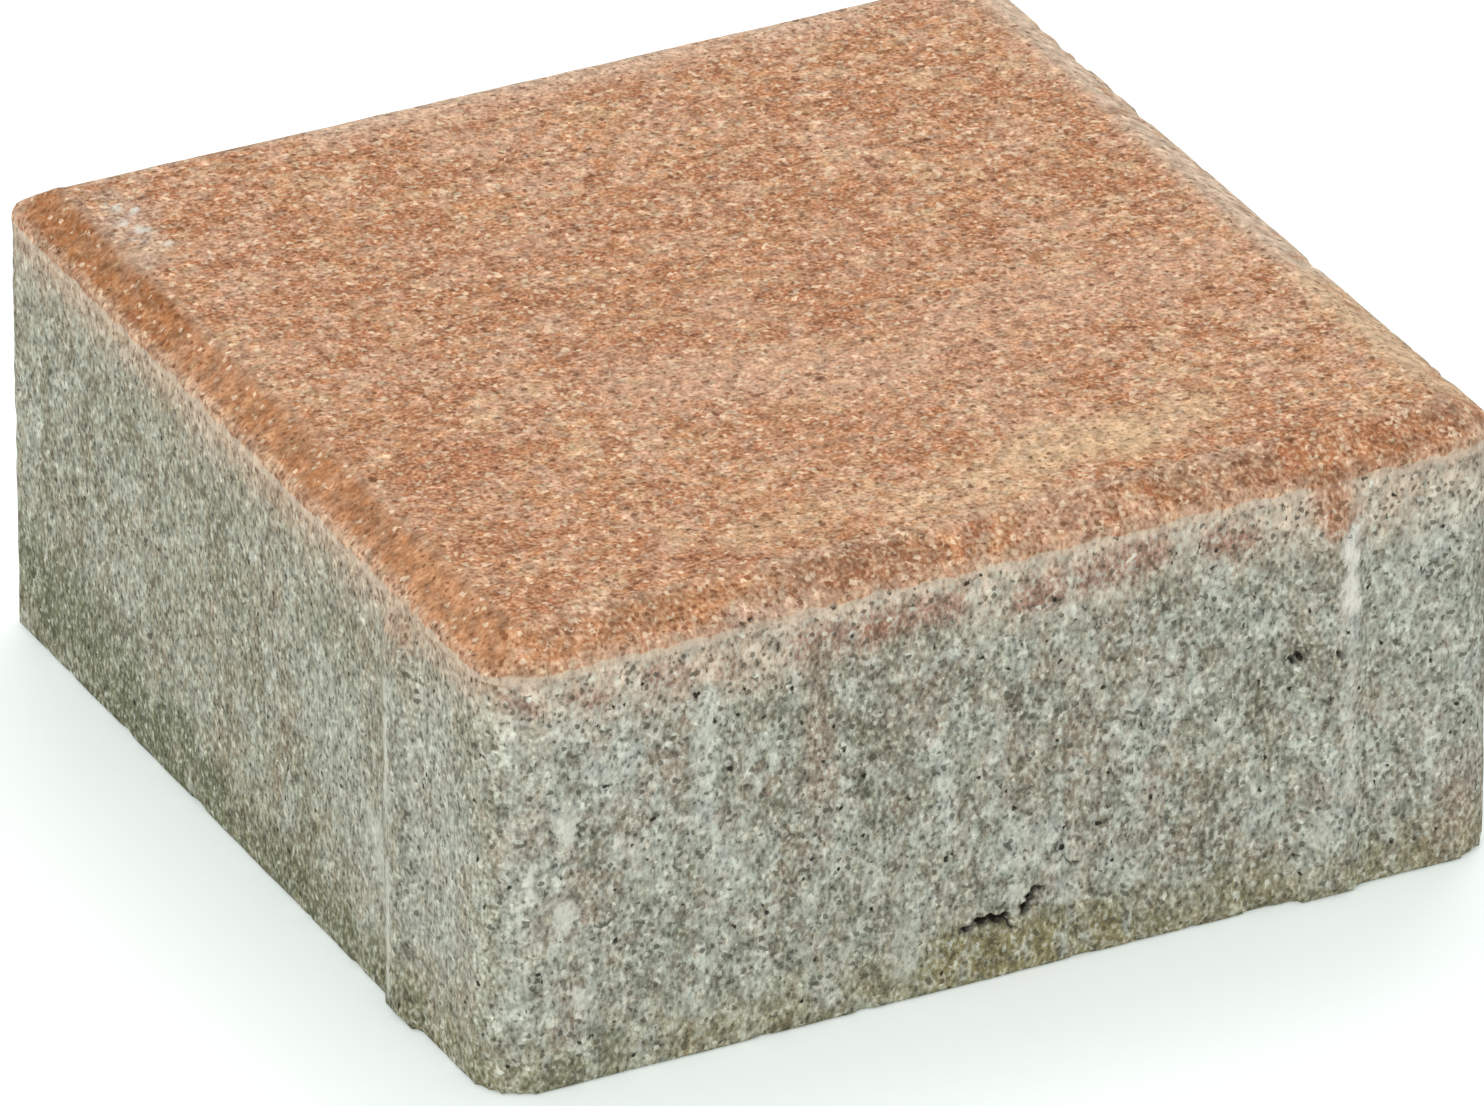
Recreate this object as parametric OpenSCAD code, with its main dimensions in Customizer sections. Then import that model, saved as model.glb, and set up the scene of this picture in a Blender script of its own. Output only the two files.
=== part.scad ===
// Square concrete paving stone, cast in one piece: a chamfer runs round its top face,
// its upright corners are rounded, and each side carries one spacer rib that keeps
// the joint to the next stone open. The four ribs follow each other round the stone.
// The origin is the middle of the bed face, with the top face up.

/* [Stone] */
// Length of a side, without its spacer ribs
side = 180; // [120:1:300]
// Thickness from the bed face to the top face
thickness = 80; // [50:1:120]
// Radius of the four upright corners
corner_r = 9; // [8.5:0.5:20]

/* [Top chamfer] */
// Level width of the chamfer
chamfer_w = 7.5; // [3:0.5:8]
// Drop of the chamfer below the top face
chamfer_drop = 4.5; // [2:0.5:10]

/* [Spacer ribs] */
// How far a rib stands out from its side
rib_proud = 2; // [1:0.25:3]
// Width of a rib where it meets its side
rib_w = 13; // [8:0.5:20]
// Middle of a rib to the right-hand end of its side, seen from outside
rib_inset = 32; // [30:1:50]
// Height over which the top of a rib tapers into its side
rib_taper = 8; // [4:1:20]
// Plain strip left between the tip of a rib and the chamfer
rib_strip = 1; // [0.5:0.5:6]

/* [Hidden] */
$fn = 96;

// Top of the upright sides, where the chamfer starts
shoulder_z = thickness - chamfer_drop;
// Middle of each rounded corner, from the middle of the stone
corner_at = side / 2 - corner_r;

// A rib is an upright round post sunk in the side: its radius and the depth of its axis
// follow from the width and the height of the part that shows
rib_r = (pow(rib_proud, 2) + pow(rib_w / 2, 2)) / (2 * rib_proud);
rib_sunk = rib_r - rib_proud;
rib_straight = shoulder_z - rib_strip - rib_taper;
// The tapered top goes on at the same slope, inside the stone, up to the chamfer's level
rib_tip_r = rib_sunk - rib_strip * rib_proud / rib_taper;

// Half of the stone's upright section, from its middle out to the side at the given reach
module half_section(reach) {
    polygon([
        [0, 0],
        [reach, 0],
        [reach, shoulder_z],
        [reach - chamfer_w, thickness],
        [0, thickness]
    ]);
}

// The stone from one pair of corners to the other, with the chamfer on its two long sides
module chamfered_slab() {
    rotate([90, 0, 0])
        linear_extrude(height = 2 * corner_at, center = true) {
            half_section(side / 2);
            mirror([1, 0]) half_section(side / 2);
        }
}

// One rounded corner, turned from the same section
module corner_post() {
    translate([corner_at, corner_at, 0])
        rotate_extrude() half_section(corner_r);
}

// The rib of the front side
module spacer_rib() {
    translate([side / 2 - rib_inset, rib_sunk - side / 2, 0]) {
        cylinder(h = rib_straight, r = rib_r);
        translate([0, 0, rib_straight])
            cylinder(h = rib_taper + rib_strip, r1 = rib_r, r2 = rib_tip_r);
    }
}

module paving_stone() {
    color([0.78, 0.61, 0.48]) {
        for (turn = [0, 90])
            rotate(turn) chamfered_slab();
        for (turn = [0 : 90 : 270])
            rotate(turn) {
                corner_post();
                spacer_rib();
            }
    }
}

paving_stone();
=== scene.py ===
"""A two-mix concrete paving stone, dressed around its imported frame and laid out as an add-on."""

import math

import bmesh
import bpy
import numpy as np
from bpy.props import FloatProperty, FloatVectorProperty, PointerProperty
from mathutils import Matrix, Vector


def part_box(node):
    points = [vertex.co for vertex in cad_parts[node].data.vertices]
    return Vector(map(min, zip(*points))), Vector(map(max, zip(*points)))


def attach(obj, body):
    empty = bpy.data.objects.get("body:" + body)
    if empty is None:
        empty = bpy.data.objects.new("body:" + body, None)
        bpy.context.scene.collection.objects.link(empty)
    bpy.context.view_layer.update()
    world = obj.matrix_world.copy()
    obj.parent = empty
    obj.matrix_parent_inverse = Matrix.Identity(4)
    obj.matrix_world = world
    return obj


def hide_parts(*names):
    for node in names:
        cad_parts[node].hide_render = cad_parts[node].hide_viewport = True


bl_info = {
    "name": "Concrete Paving Stone",
    "version": (1, 0, 0),
    "blender": (4, 5, 0),
    "location": "View3D > Sidebar > Paving",
    "description": "Casts a worn two-mix concrete paving stone and lays it on a pale floor",
    "category": "Object",
}

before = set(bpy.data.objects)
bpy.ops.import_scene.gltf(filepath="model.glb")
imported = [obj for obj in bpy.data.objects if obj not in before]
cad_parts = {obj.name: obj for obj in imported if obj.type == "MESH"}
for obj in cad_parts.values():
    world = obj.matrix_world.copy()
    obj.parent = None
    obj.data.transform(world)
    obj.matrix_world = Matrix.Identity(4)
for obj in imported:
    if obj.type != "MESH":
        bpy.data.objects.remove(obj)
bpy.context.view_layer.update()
NODE = "paving_stone"
STONE_LOW, STONE_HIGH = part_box(NODE)
SIDES = 4
PHOTO_WIDTH = 1484
BAKE_MAP = "OFBake"

# Marks of this one stone in millimetres: colour, strength, radius, start and end of a brush stroke.
# A later mark lies over an earlier one.
MARKS = (
    # The coloured face and its chamfers
    ("face_deep", 0.25, 32, (-50, 20, 80), (5, 5, 80)),
    # Denser pigment on the left-hand chamfer, partly painted shade as it faces away from the lamp
    ("chamfer", 0.5, 5, (-86, 72, 77), (-86, 36, 77)),
    ("face_main", 0.3, 6, (-86, 12, 78), (-86, -50, 78)),
    ("face_main", 0.75, 6, (-86, -56, 78), (-85, -84, 78)),
    ("face_main", 0.6, 5, (-80, -86, 78), (-40, -86, 78)),
    # Painted light on the right-hand and back chamfers, which face the lamp: paler face colour and a pale
    # lip
    ("face_pale", 0.9, 8, (87, 78, 79), (87, -36, 79)),
    ("face_pale", 0.75, 8, (-36, 82, 80), (60, 82, 80)),
    ("lip", 0.85, 7, (87, 78, 79), (87, -70, 79)),
    ("lip", 0.45, 6, (-36, 84, 79), (60, 84, 79)),
    ("face_ochre", 0.6, 5, (-38, -73, 80), (-23, -71, 80)),
    ("face_ochre", 0.6, 6, (-10, -76, 80), (6, -75, 80)),
    ("face_ochre", 0.8, 7, (6, -75, 80), (21, -67, 80)),
    ("face_ochre", 0.8, 8, (21, -67, 80), (31, -70, 80)),
    ("face_ochre", 0.7, 7, (31, -70, 80), (46, -67, 80)),
    ("face_ochre", 0.7, 7.5, (85, -38, 79), (86, -74, 79)),
    ("face_deep", 0.85, 6.5, (55, -84, 80), (78, -90, 80)),
    ("face_deep", 0.75, 6, (-33, 14, 80), (-23, 9, 80)),
    ("face_deep", 0.6, 6, (4, -5, 80), (11, -7, 80)),
    ("face_deep", 0.65, 8, (-71, -31, 80), (-63, -32, 80)),
    ("face_deep", 0.5, 9, (-16, -44, 80), (-1, -56, 80)),
    ("face_deep", 0.45, 7, (21, 61, 80), (49, 52, 80)),
    ("face_pale", 0.65, 10, (-29, -19, 80), (8, -34, 80)),
    ("face_pale", 0.4, 12, (24, -27, 80), (66, -22, 80)),
    ("face_pale", 0.6, 4, (8, -87, 79), (14, -87, 79)),
    ("face_grey", 0.7, 5, (-77, 75, 80), (-80, 54, 80)),
    ("sand_dark", 0.6, 1.8, (-81, 77, 80), (-79, 74, 80)),
    ("sand_dark", 0.5, 1.8, (74, 76, 80), (80, 75, 80)),
    ("sand_dark", 0.4, 3, (-32, 11, 80), (-28, 8, 80)),
    ("face_grey", 0.7, 3, (-47, -89, 76), (-36, -89, 76)),
    # Pigment, earth, damp and a darker tone along the bed on the sides, and painted shade beside the
    # left-hand rib
    ("core_rose", 0.8, 3, (-61, -90, 69.5), (-56, -90, 68)),
    ("core_rose", 0.6, 2.5, (-75, -90, 69), (-72, -90, 68)),
    ("core_rose", 0.6, 2, (-51, -90, 68), (-47, -90, 67.5)),
    ("core_rose", 0.7, 2, (-88, -89, 71), (-83, -90, 69)),
    ("core_rose", 0.75, 4, (-35, -90, 68), (-10, -90, 69)),
    ("core_rose", 0.9, 1.8, (-24, -90, 68.5), (-20, -90, 68)),
    ("core_rose", 0.8, 4, (4, -90, 67), (26, -90, 70)),
    ("core_rose", 0.9, 3, (37, -90, 69), (42, -90, 68)),
    ("face_deep", 0.8, 4, (57, -91, 75), (58, -91, 68)),
    ("core_brown", 0.9, 3.5, (-33, -90, 66), (-33, -90, 42)),
    ("core_brown", 0.6, 2.5, (-49, -90, 73), (-44, -90, 73)),
    ("core_brown", 0.6, 3.5, (-64, -90, 66), (-60, -90, 65)),
    ("core_brown", 0.5, 3.5, (-67, -90, 48), (-65, -90, 46)),
    ("core_brown", 0.6, 6, (80, -90, 6), (85, -90, 18)),
    # A darker, yellower tone along the bed
    ("bed_tone", 0.2, 4, (50, -90, 2), (84, -90, 2)),
    ("bed_tone", 0.95, 7, (-8, -90, 5), (18, -90, 3)),
    ("lip", 0.5, 4.5, (-54, -90, 67), (-42, -90, 66)),
    ("lip", 0.45, 6, (67, -90, 66), (84, -90, 65)),
    ("core_brown", 0.6, 2.5, (-91, -59, 74), (-91, -60, 66)),
    ("core_dark", 0.5, 7, (42, -90, 41), (58, -90, 43)),
    ("core_dark", 0.3, 6, (-29, -90, 59), (-22, -90, 45)),
    ("core_dark", 0.6, 4, (-19, -90, 64), (-13, -90, 64)),
    ("core_dark", 0.6, 4, (4, -90, 47), (9, -90, 46)),
    ("core_dark", 0.45, 4, (5, -90, 30), (8, -90, 30)),
    # Painted shade on the near flank of the left-hand rib
    ("core_dark", 0.5, 2.5, (-90.5, -63, 39), (-90.5, -63, 31)),
    ("core_dark", 0.7, 1.9, (-91, -61, 64), (-91, -61, 12)),
    ("moss", 0.95, 13, (-90, 77, 11), (-90, 17, 4)),
    ("moss", 0.8, 8, (-90, 17, 3), (-90, -60, 2)),
    # Pale patches and pebbles of the sides, the damp foot of the near corner, and a painted highlight along
    # the left-hand rib's crest
    ("core_pale", 0.4, 10, (78, -90, 60), (80, -90, 28)),
    ("core_pale", 0.85, 2.5, (-53, -90, 64), (-53, -90, 44)),
    ("stone_pale", 0.3, 1.3, (-53, -90, 62), (-53, -90, 48)),
    ("core_pale", 0.5, 3, (-68, -90, 41), (-68, -90, 39)),
    ("core_pale", 0.35, 4, (-60, -90, 29), (-64, -90, 18)),
    ("core_pale", 0.6, 4, (43, -90, 53), (47, -90, 52)),
    ("core_pale", 0.15, 9, (-88, -88, 60), (-88, -88, 14)),
    ("core_pale", 0.4, 13, (-90, -30, 42), (-90, -46, 24)),
    ("core_pale", 0.55, 13, (-90, -70, 52), (-90, -70, 24)),
    ("moss", 0.55, 7, (-89, -80, 2), (-72, -90, 3)),
    # Painted highlight along the crest of the left-hand rib
    ("stone_pale", 0.75, 1.3, (-91.5, -56, 60), (-91.5, -56, 4)),
    ("stone_pale", 0.85, 2.2, (-77, -90, 47), (-77, -90, 45.5)),
    ("stone_pale", 0.85, 2.2, (-77, -90, 31.5), (-77, -90, 30)),
    ("stone_pale", 0.7, 2, (-75, -90, 16), (-75, -90, 15)),
    ("stone_pale", 0.5, 2.2, (56, -91, 13), (56, -91, 12)),
    ("stone_pale", 0.6, 1.6, (2, -90, 15), (2.5, -90, 14)),
    ("stone_pale", 0.5, 2.2, (-18, -90, 13), (-18, -90, 6)),
    ("stone_pale", 0.5, 2.5, (-90, -48, 30), (-90, -52, 21)),
    # Lime grains and lime runs
    ("lime", 0.8, 0.8, (-78, 73, 80), (-77.5, 72, 80)),
    ("lime", 0.9, 0.8, (-75.5, 70, 80), (-75, 69.5, 80)),
    ("lime", 0.7, 0.8, (-79, 67, 80), (-78.5, 66.5, 80)),
    ("lime", 0.9, 0.9, (-77, 64, 80), (-76.5, 63, 80)),
    ("lime", 0.8, 0.7, (-79.5, 60, 80), (-79, 60, 80)),
    ("lime", 0.8, 0.7, (-76, 57, 80), (-75.5, 57, 80)),
    ("lime", 0.6, 0.9, (-83.5, -90, 41), (-83.5, -90, 35)),
    ("lime", 0.8, 0.9, (-67, -90, 41.5), (-67, -90, 40.5)),
    ("lime", 1, 1.6, (60.5, -91.5, 65), (60.5, -91.5, 62)),
    ("lime", 0.8, 1.2, (61.2, -91.5, 62), (60.8, -91.5, 57)),
    ("lime", 1, 1.7, (60.6, -91.5, 57), (61.2, -91.5, 52)),
    ("lime", 0.3, 1.2, (61, -91.5, 51), (61, -91.5, 18)),
    # Cracks and pits, painted dark as their shade, and painted shadows beneath the pale pebbles
    ("hole_shade", 0.7, 0.6, (51, -90, 44.5), (54, -90, 45.5)),
    ("hole_shade", 0.8, 0.7, (54, -90, 45.5), (59, -91.5, 44)),
    ("hole_shade", 0.9, 0.7, (-7, -90, 10), (-4, -90, 11)),
    ("hole_shade", 1, 0.9, (-4, -90, 11), (0, -90, 10.5)),
    ("hole_shade", 0.7, 0.6, (0, -90, 10.5), (1.5, -90, 8.5)),
    ("hole_shade", 1, 0.9, (3.5, -90, 11), (5, -90, 14)),
    ("hole_shade", 0.7, 0.6, (5, -90, 14), (6.5, -90, 14.5)),
    ("hole_shade", 0.5, 0.4, (9.5, -90, 18.5), (10.5, -90, 19)),
    ("hole_shade", 0.5, 0.4, (10.5, -90, 19), (13, -90, 16.5)),
    ("hole_shade", 0.6, 0.5, (51, -90, 8), (52, -90, 9)),
    ("hole_shade", 0.5, 0.5, (-47, -89.5, 75), (-43.5, -89.5, 75)),
    # Painted shadows beneath the pale pebbles
    ("hole_shade", 0.5, 0.4, (-74.6, -90, 47), (-74.9, -90, 44.5)),
    ("hole_shade", 0.4, 0.4, (-79.6, -90, 47), (-79.4, -90, 45)),
    ("hole_shade", 0.35, 0.4, (-74.8, -90, 30), (-75.6, -90, 28.6)),
)
PIT_MARK = "hole_shade"
# Marks that also lie over the sand grains
FILMS = ("lime", "stone_pale", PIT_MARK)
MM = 0.001

# How far the rim of a mark wanders to and fro, and how quickly
RIM_WOBBLE = 0.00035
RIM_WAVE = 0.00025

# Finer mesh round a crack: its extra width in millimetres and its cuts
CRACK_MARGIN = 1.5
CRACK_CUTS = 3

# Steps of a corner and of a rib, and the gap between the bake maps
CORNER_STEPS = 8
RIB_SIDES = 96
MAP_MARGIN = 0.01

# Widths over which the zones of the surface fade into each other
SLOPE_FADE = (-0.001, 0.0025)
RIM_FADE = (0.0004, 0.0026)
SHOULDER_FADE = 0.0004
UPPER_FADE = (-0.002, 0.001)
BED_FADE = 0.0015
ARRIS_REACH = 0.0022

# Patterns of the concrete
BROAD_PATCH = 0.018
SMALL_PATCH = 0.0065
GRIT_SIZE = 0.0007
GRAIN_SIZE = 0.0008
TINT_SIZE = 0.0014
STREAK_WIDTH = 0.003
CLUMP_SIZE = 0.0022
PORE_SPACING = 0.0034
BUMP_DEPTH = 0.0006

# How much the drag of the mould draws each pattern out upright: less is longer
PATCH_DRAG = 0.6
GRIT_DRAG = 0.7
STREAK_DRAG = 0.2
CLUMP_DRAG = 0.8

# Border of the two mixes: how far it wanders, and the pale lip along it
BORDER_WANDER = 0.003
LIP_DROP = 0.0017
LIP_BAND = (0.0009, 0.0005)

# Depths below the shoulder where a cover ends and where it is full
CAP_BAND = (0.0018, 0.0010)
FADE_BAND = (0.010, 0.001)
RUN_BAND = (0.0095, 0.003)
DRIP_BAND = (0.0085, 0.006)
DUST_BAND = (0.017, 0.003)
DUST_TOP = (0.0008, 0.002)
RUB_BAND = (0.003, 0.0)

# Heights above the bed where the darker tone of the bed ends and where it is full
BED_TONE_BAND = (0.014, 0.003)

# Half widths of the change from one side to the next, and from left to right
SIDE_CHANGE = 0.003
LEFT_CHANGE = 0.02

FLOOR_SIZE = 30
FLOOR_DROP = 0.0003
VIEW_REACH = 100


def screen_colour(red, green, blue):
    """Scene-linear colour of an 8-bit screen colour."""
    return tuple(((part / 255 + 0.055) / 1.055) ** 2.4 for part in (red, green, blue))


def length(name, description, default):
    """A size in metres that the sidebar shows as a length."""
    return FloatProperty(name=name, description=description, default=default, unit="LENGTH", precision=4)


def angle(name, description, degrees):
    """An angle that the sidebar shows in degrees."""
    return FloatProperty(name=name, description=description, default=math.radians(degrees), subtype="ANGLE")


def amount(name, description, default, subtype="NONE"):
    """A plain number, or the power of a lamp."""
    return FloatProperty(name=name, description=description, default=default, subtype=subtype)


def point(name, description, default):
    """A point of the scene in metres."""
    return FloatVectorProperty(name=name, description=description, default=default, subtype="XYZ")


def colour(name, description, default):
    """A colour that the sidebar shows as a swatch."""
    return FloatVectorProperty(
        name=name, description=description, default=screen_colour(*default), subtype="COLOR", min=0, max=1
    )


class StoneShape(bpy.types.PropertyGroup):
    """Sizes of the pressed block, as in the frame."""

    corner_radius: length("Corner radius", "Radius of the upright corners", 0.009)
    crisp_radius: length("Crisp corner radius", "Radius of the corner that kept its burr", 0.0055)
    chamfer_width: length("Chamfer width", "Level width of the top chamfer", 0.0075)
    chamfer_drop: length("Chamfer drop", "Drop of the chamfer below the top face", 0.0045)
    rib_proud: length("Rib height", "How far a spacer rib stands out", 0.002)
    rib_width: length("Rib width", "Width of a spacer rib on its side", 0.013)
    rib_inset: length("Rib inset", "Middle of a rib to the right-hand end of its side", 0.032)
    rib_taper: length("Rib taper", "Height over which a rib runs into its side", 0.008)
    rib_strip: length("Rib strip", "Plain strip between a rib's tip and the chamfer", 0.001)
    mesh_step: length("Mesh step", "Spacing of the surface's points", 0.00118)


class StoneWear(bpy.types.PropertyGroup):
    """How rough and worn the cast surfaces are."""

    unevenness: length("Unevenness", "Height of the slow waves of all faces", 0.0004)
    wave_size: length("Wave size", "Width of the slow waves", 0.045)
    face_lumps: length("Face lumps", "Height of the sand lumps of the coloured face", 0.00028)
    face_lump_size: length("Face lump size", "Width of the sand lumps of the face", 0.0055)
    side_lumps: length("Side lumps", "Height of the sand lumps of the grey sides", 0.00042)
    side_lump_size: length("Side lump size", "Width of the sand lumps of the sides", 0.0075)
    hole_depth: length("Hole depth", "Depth of the air holes of the sides", 0.0009)
    hole_spacing: length("Hole spacing", "Spacing of the air holes", 0.0095)
    chip_depth: length("Chip depth", "Depth of the chips along the arrises", 0.0008)
    chip_size: length("Chip size", "Width of the chips", 0.007)
    rub_size: length("Rub size", "Width of the rubbed stretches of the arrises", 0.011)
    pit_depth: length("Pit depth", "Depth of the cracks and pits that are placed by hand", 0.002)


class StoneColours(bpy.types.PropertyGroup):
    """Colours of the two concrete mixes and of what lies on them."""

    face_main: colour("Face, main", "Usual pigment of the face", (207, 149, 105))
    face_deep: colour("Face, deep", "Strongest pigment of the face", (186, 122, 82))
    # Also used for painted light on the right-hand and back chamfers
    face_pale: colour("Face, pale", "Rubbed, pinkish pigment of the face", (224, 179, 149))
    face_ochre: colour("Face, ochre", "Yellowish streaks of the face", (229, 193, 151))
    face_grey: colour("Face, grey", "Cement film on the face", (206, 178, 158))
    # The left-hand chamfer's colour is denser pigment and partly painted shade
    chamfer: colour("Chamfer", "Denser pigment of the left-hand chamfer", (172, 112, 64))
    chamfer_worn: colour("Worn chamfer", "Duller pigment of the other three chamfers", (152, 113, 86))
    sand_pale: colour("Pale sand", "Pale grains of the face", (250, 222, 188))
    sand_dark: colour("Dark sand", "Dark grains of the face", (128, 80, 50))
    core_main: colour("Body, main", "Usual grey of the body", (179, 180, 162))
    core_pale: colour("Body, pale", "Lime-rich grey of the body", (200, 207, 195))
    core_brown: colour("Body, brown", "Earthy grey of the body", (168, 149, 129))
    core_olive: colour("Body, olive", "Algae tint of the left and right sides", (164, 157, 120))
    core_rose: colour("Body, rose", "Face pigment smeared over the body", (171, 126, 105))
    # Also used for painted shade on the near flank of the left-hand rib
    core_dark: colour("Body, dark", "Damp grey of the body", (132, 133, 113))
    # Also used for a painted highlight along the crest of the left-hand rib
    stone_pale: colour("Pale grit", "Pale grit of the body", (228, 230, 214))
    stone_dark: colour("Dark grit", "Dark grit of the body", (88, 86, 73))
    moss: colour("Moss", "Green film of the damp side", (128, 132, 102))
    lime: colour("Lime", "White lime that has run out", (244, 242, 230))
    # Painted shade inside pores, cracks, pits and chips, and beneath the pale pebbles
    hole_shade: colour("Holes", "Inside of pores, cracks and air holes", (40, 36, 28))
    # Also used for painted light on the right-hand and back chamfers
    lip: colour("Lip", "Rubbed lip along the chamfer", (226, 205, 181))
    # A darker, yellower tone along the bed
    bed_tone: colour("Grime", "Earthy film along the bed", (154, 145, 104))
    floor: colour("Floor", "Pale studio floor", (244, 247, 246))
    floor_glow: colour("Floor glow", "Tint of the glow that takes the bare floor to white", (241, 255, 250))


class StudioStage(bpy.types.PropertyGroup):
    """Camera, lamps and floor."""

    azimuth: angle("Azimuth", "Turn of the view to the left", 26.965)
    elevation: angle("Elevation", "Height of the view", 28.558)
    distance: length("Distance", "Camera to its aim", 2.8971)
    focal_pixels: amount("Focal length", "Focal length in photo pixels", 18000)
    aim: point("Aim", "Point in the middle of the view", (-0.00204, -0.00249, 0.03423))
    sky: amount("Sky", "Strength of the even light", 0.6)
    key_place: point("Key place", "Where the lamp above hangs", (0.55, 0.85, 1.75))
    key_size: length("Key size", "Width of the lamp above", 1.2)
    key_power: amount("Key power", "Power of the lamp above", 12, "POWER")
    fill_place: point("Fill place", "Where the lamp in front stands", (-1.3, -1.3, 0.95))
    fill_size: length("Fill size", "Width of the lamp in front", 1.4)
    fill_power: amount("Fill power", "Power of the lamp in front", 12, "POWER")
    floor_lift: amount("Floor lift", "Strength of the floor's glow", 0.31)


class PavingSettings(bpy.types.PropertyGroup):
    """Everything that the panel shows."""

    shape: PointerProperty(type=StoneShape)
    wear: PointerProperty(type=StoneWear)
    colours: PointerProperty(type=StoneColours)
    stage: PointerProperty(type=StudioStage)


# Mesh tools


def select_only(piece):
    """Leave one object selected and active."""
    bpy.ops.object.select_all(action="DESELECT")
    piece.select_set(True)
    bpy.context.view_layer.objects.active = piece


def pick_edges(piece, test):
    """Select the edges of the piece in edit mode whose two points pass the test."""
    mesh = bmesh.from_edit_mesh(piece.data)
    bpy.ops.mesh.select_all(action="DESELECT")
    bpy.ops.mesh.select_mode(type="EDGE")
    for edge in mesh.edges:
        edge.select_set(test(edge.verts[0].co, edge.verts[1].co))
    bmesh.update_edit_mesh(piece.data)


def pick_top(piece):
    """Select the highest face of the piece in edit mode."""
    mesh = bmesh.from_edit_mesh(piece.data)
    bpy.ops.mesh.select_all(action="DESELECT")
    bpy.ops.mesh.select_mode(type="FACE")
    max(mesh.faces, key=lambda face: face.calc_center_median().z).select_set(True)
    bmesh.update_edit_mesh(piece.data)


def apply_modifier(piece, name, kind, **settings):
    """Add one modifier and apply it."""
    select_only(piece)
    added = piece.modifiers.new(name, kind)
    for key, value in settings.items():
        setattr(added, key, value)
    bpy.ops.object.modifier_apply(modifier=added.name)


def points_of(mesh):
    """The mesh's points as rows of three numbers."""
    flat = np.empty(len(mesh.vertices) * 3)
    mesh.vertices.foreach_get("co", flat)
    return flat.reshape(-1, 3)


def ease(values, start, end):
    """Smooth 0 to 1 as the values go from start to end."""
    share = np.clip((values - start) / (end - start), 0, 1)
    return share * share * (3 - 2 * share)


# The stone's form


def block_side(shape):
    """Length of a side without its ribs."""
    return STONE_HIGH.x - STONE_LOW.x - 2 * shape.rib_proud


def shoulder_of(shape):
    """Height where the upright side ends and the chamfer starts."""
    return STONE_HIGH.z - shape.chamfer_drop


def pressed_block(shape):
    """The block without ribs: a cube with rounded corners and the chamfer round its top."""
    side, shoulder = block_side(shape), shoulder_of(shape)
    bpy.ops.object.select_all(action="DESELECT")
    bpy.ops.mesh.primitive_cube_add(size=1, location=(0, 0, shoulder / 2), scale=(side, side, shoulder))
    block = bpy.context.object
    block.name = block.data.name = "paving_stone_cast"
    bpy.ops.object.transform_apply(location=True, rotation=True, scale=True)
    bpy.ops.object.mode_set(mode="EDIT")
    for crisp, radius in ((False, shape.corner_radius), (True, shape.crisp_radius)):
        pick_edges(block, lambda a, b: a.x == b.x and a.y == b.y and (a.x < 0 < a.y) == crisp)
        bpy.ops.mesh.bevel(offset=radius, segments=CORNER_STEPS, affect="EDGES")
    pick_top(block)
    bpy.ops.mesh.inset(thickness=shape.chamfer_width, depth=shape.chamfer_drop)
    bpy.ops.object.mode_set(mode="OBJECT")
    return block


def spacer_rib(shape):
    """The front rib: a sunk round post whose drawn-in top runs into the side."""
    half = shape.rib_width / 2
    radius = (shape.rib_proud**2 + half**2) / (2 * shape.rib_proud)
    straight = shoulder_of(shape) - shape.rib_strip - shape.rib_taper
    reach = block_side(shape) / 2
    axis = Vector((reach - shape.rib_inset, radius - shape.rib_proud - reach, 0))
    rise = shape.rib_taper + shape.rib_strip
    tip = 1 - shape.rib_proud / radius * rise / shape.rib_taper
    bpy.ops.object.select_all(action="DESELECT")
    bpy.ops.mesh.primitive_cylinder_add(
        vertices=RIB_SIDES, radius=radius, depth=straight, location=axis + Vector((0, 0, straight / 2))
    )
    rib = bpy.context.object
    bpy.ops.object.transform_apply(location=True, rotation=True, scale=True)
    bpy.ops.object.mode_set(mode="EDIT")
    pick_top(rib)
    bpy.ops.mesh.extrude_region_move(TRANSFORM_OT_translate={"value": (0, 0, rise)})
    bpy.ops.transform.resize(value=(tip, tip, 1), center_override=axis + Vector((0, 0, straight + rise)))
    bpy.ops.object.mode_set(mode="OBJECT")
    return rib


def fuse_ribs(block, rib):
    """Fuse one rib to each side, each a quarter turn on from the last."""
    for turn in range(SIDES):
        copy = rib.copy()
        copy.data = rib.data.copy()
        copy.data.transform(Matrix.Rotation(turn * math.tau / SIDES, 4, "Z"))
        bpy.context.collection.objects.link(copy)
        apply_modifier(block, "rib", "BOOLEAN", operation="UNION", solver="EXACT", object=copy)
        bpy.data.meshes.remove(copy.data)
    bpy.data.meshes.remove(rib.data)


def lay_bake_map(stone):
    """Six flat maps, one for each face of the block, packed side by side."""
    select_only(stone)
    stone.data.uv_layers.new(name=BAKE_MAP)
    bpy.ops.object.mode_set(mode="EDIT")
    bpy.ops.mesh.select_all(action="SELECT")
    bpy.ops.uv.cube_project(cube_size=STONE_HIGH.x - STONE_LOW.x, scale_to_bounds=False)
    bpy.ops.uv.select_all(action="SELECT")
    bpy.ops.uv.pack_islands(rotate=False, margin=MAP_MARGIN)
    bpy.ops.object.mode_set(mode="OBJECT")


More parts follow.
